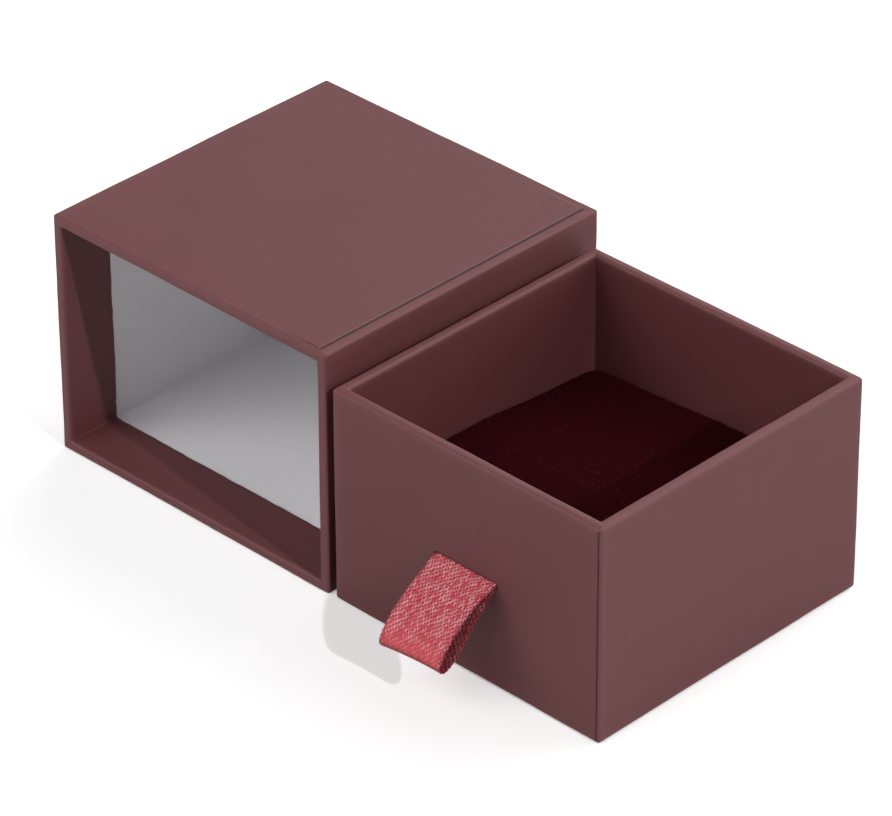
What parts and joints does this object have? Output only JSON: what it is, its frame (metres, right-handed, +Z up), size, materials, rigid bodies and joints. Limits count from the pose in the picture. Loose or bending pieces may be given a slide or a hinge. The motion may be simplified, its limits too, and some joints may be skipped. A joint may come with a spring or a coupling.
{
  "type": "ring box with drawer",
  "caption": "Small paper-covered sleeve with a white lining and a closed back, and its open drawer with a velvet pad and a satin ribbon pull, set down beside it.",
  "frame": {"origin": "centre of the face that the sleeve rests on", "axes": "+X across the sleeve towards the drawer that stands beside it, +Y from the sleeve's mouth to its back, +Z up"},
  "size_m": [0.1165, 0.072, 0.043],
  "materials": {
    "greyboard": "matte",
    "wrap_paper": "matte",
    "white_paper": "matte",
    "stay_tape": "matte",
    "foam": "matte",
    "velvet": "matte",
    "satin": "satin"
  },
  "bodies": {
    "sleeve": {"sleeve_top_board": "greyboard", "sleeve_bottom_board": "greyboard", "sleeve_left_board": "greyboard", "sleeve_right_board": "greyboard", "sleeve_back_board": "greyboard", "sleeve_closing_tape": "stay_tape", "sleeve_lining": "white_paper", "sleeve_wrap": "wrap_paper", "sleeve_back_paper": "wrap_paper"},
    "drawer": {"drawer_base_board": "greyboard", "drawer_front_board": "greyboard", "drawer_back_board": "greyboard", "drawer_left_board": "greyboard", "drawer_right_board": "greyboard", "drawer_corner_stay_front_left": "stay_tape", "drawer_corner_stay_front_right": "stay_tape", "drawer_corner_stay_back_left": "stay_tape", "drawer_corner_stay_back_right": "stay_tape", "drawer_wrap": "wrap_paper", "drawer_base_paper": "wrap_paper", "ribbon_tails": "satin"},
    "pad": {"foam_block": "foam", "velvet_cover": "velvet"},
    "pull": {"ribbon_pull": "satin"}
  },
  "joints": [
    {"name": "drawer_slide", "type": "slide", "parent": "sleeve", "child": "drawer", "axis": [0, -1, 0], "range_m": [0, 0.056]},
    {"name": "pad_lift", "type": "slide", "parent": "drawer", "child": "pad", "axis": [0, 0, 1], "range_m": [0, 0.037]},
    {"name": "pull_swing", "type": "hinge", "parent": "drawer", "child": "pull", "pos_m": [0.059, -0.0304, 0.0183], "axis": [1, 0, 0], "range_deg": [-75, 35], "stiffness_Nm_per_rad": 0.0003}
  ]
}
